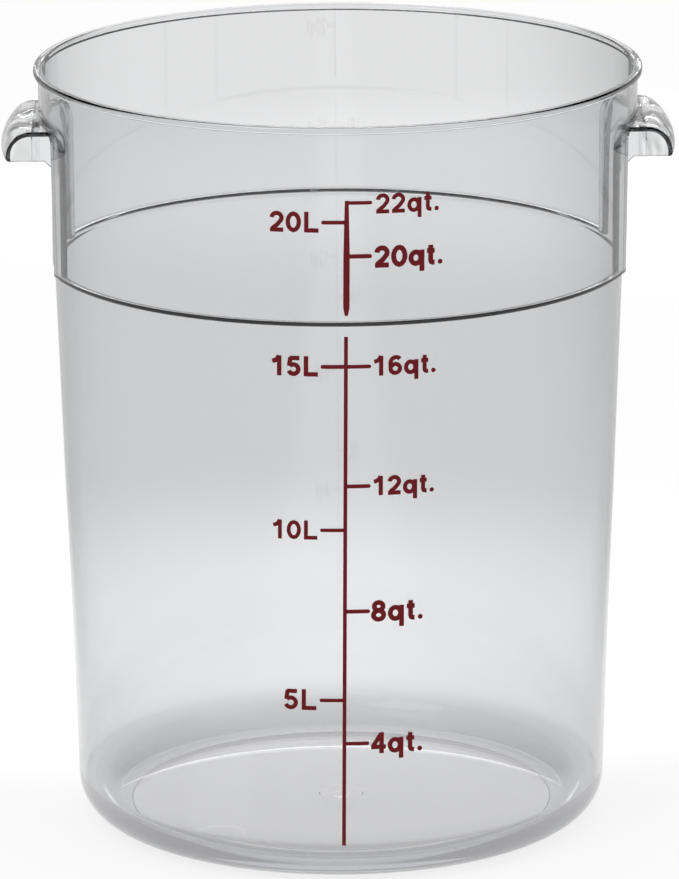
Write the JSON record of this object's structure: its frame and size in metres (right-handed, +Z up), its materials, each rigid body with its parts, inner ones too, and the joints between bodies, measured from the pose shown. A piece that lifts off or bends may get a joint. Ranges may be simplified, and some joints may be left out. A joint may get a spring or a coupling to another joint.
{
  "type": "food storage container",
  "caption": "Clear round food storage tub with a wide stepped collar, a rim lip, hooded side handles over finger recesses and a printed volume scale.",
  "frame": {"origin": "centre of the foot ring, on the surface that the container stands on", "axes": "+Z up through the open rim, -Y towards the printed scale, +X and -X through the two handles"},
  "size_m": [0.339, 0.306, 0.39],
  "materials": {
    "clear_polycarbonate": "clear polished polycarbonate with a faint cool tint",
    "scale_ink": "opaque dark red screen-printing ink, satin"
  },
  "bodies": {
    "root": {"container_body": "clear_polycarbonate", "upper_scale_stem": "scale_ink", "lower_scale_stem": "scale_ink", "quart_tick_22": "scale_ink", "litre_tick_20": "scale_ink", "quart_tick_20": "scale_ink", "quart_tick_16": "scale_ink", "litre_tick_15": "scale_ink", "quart_tick_12": "scale_ink", "litre_tick_10": "scale_ink", "quart_tick_08": "scale_ink", "litre_tick_05": "scale_ink", "quart_tick_04": "scale_ink"}
  },
  "joints": []
}
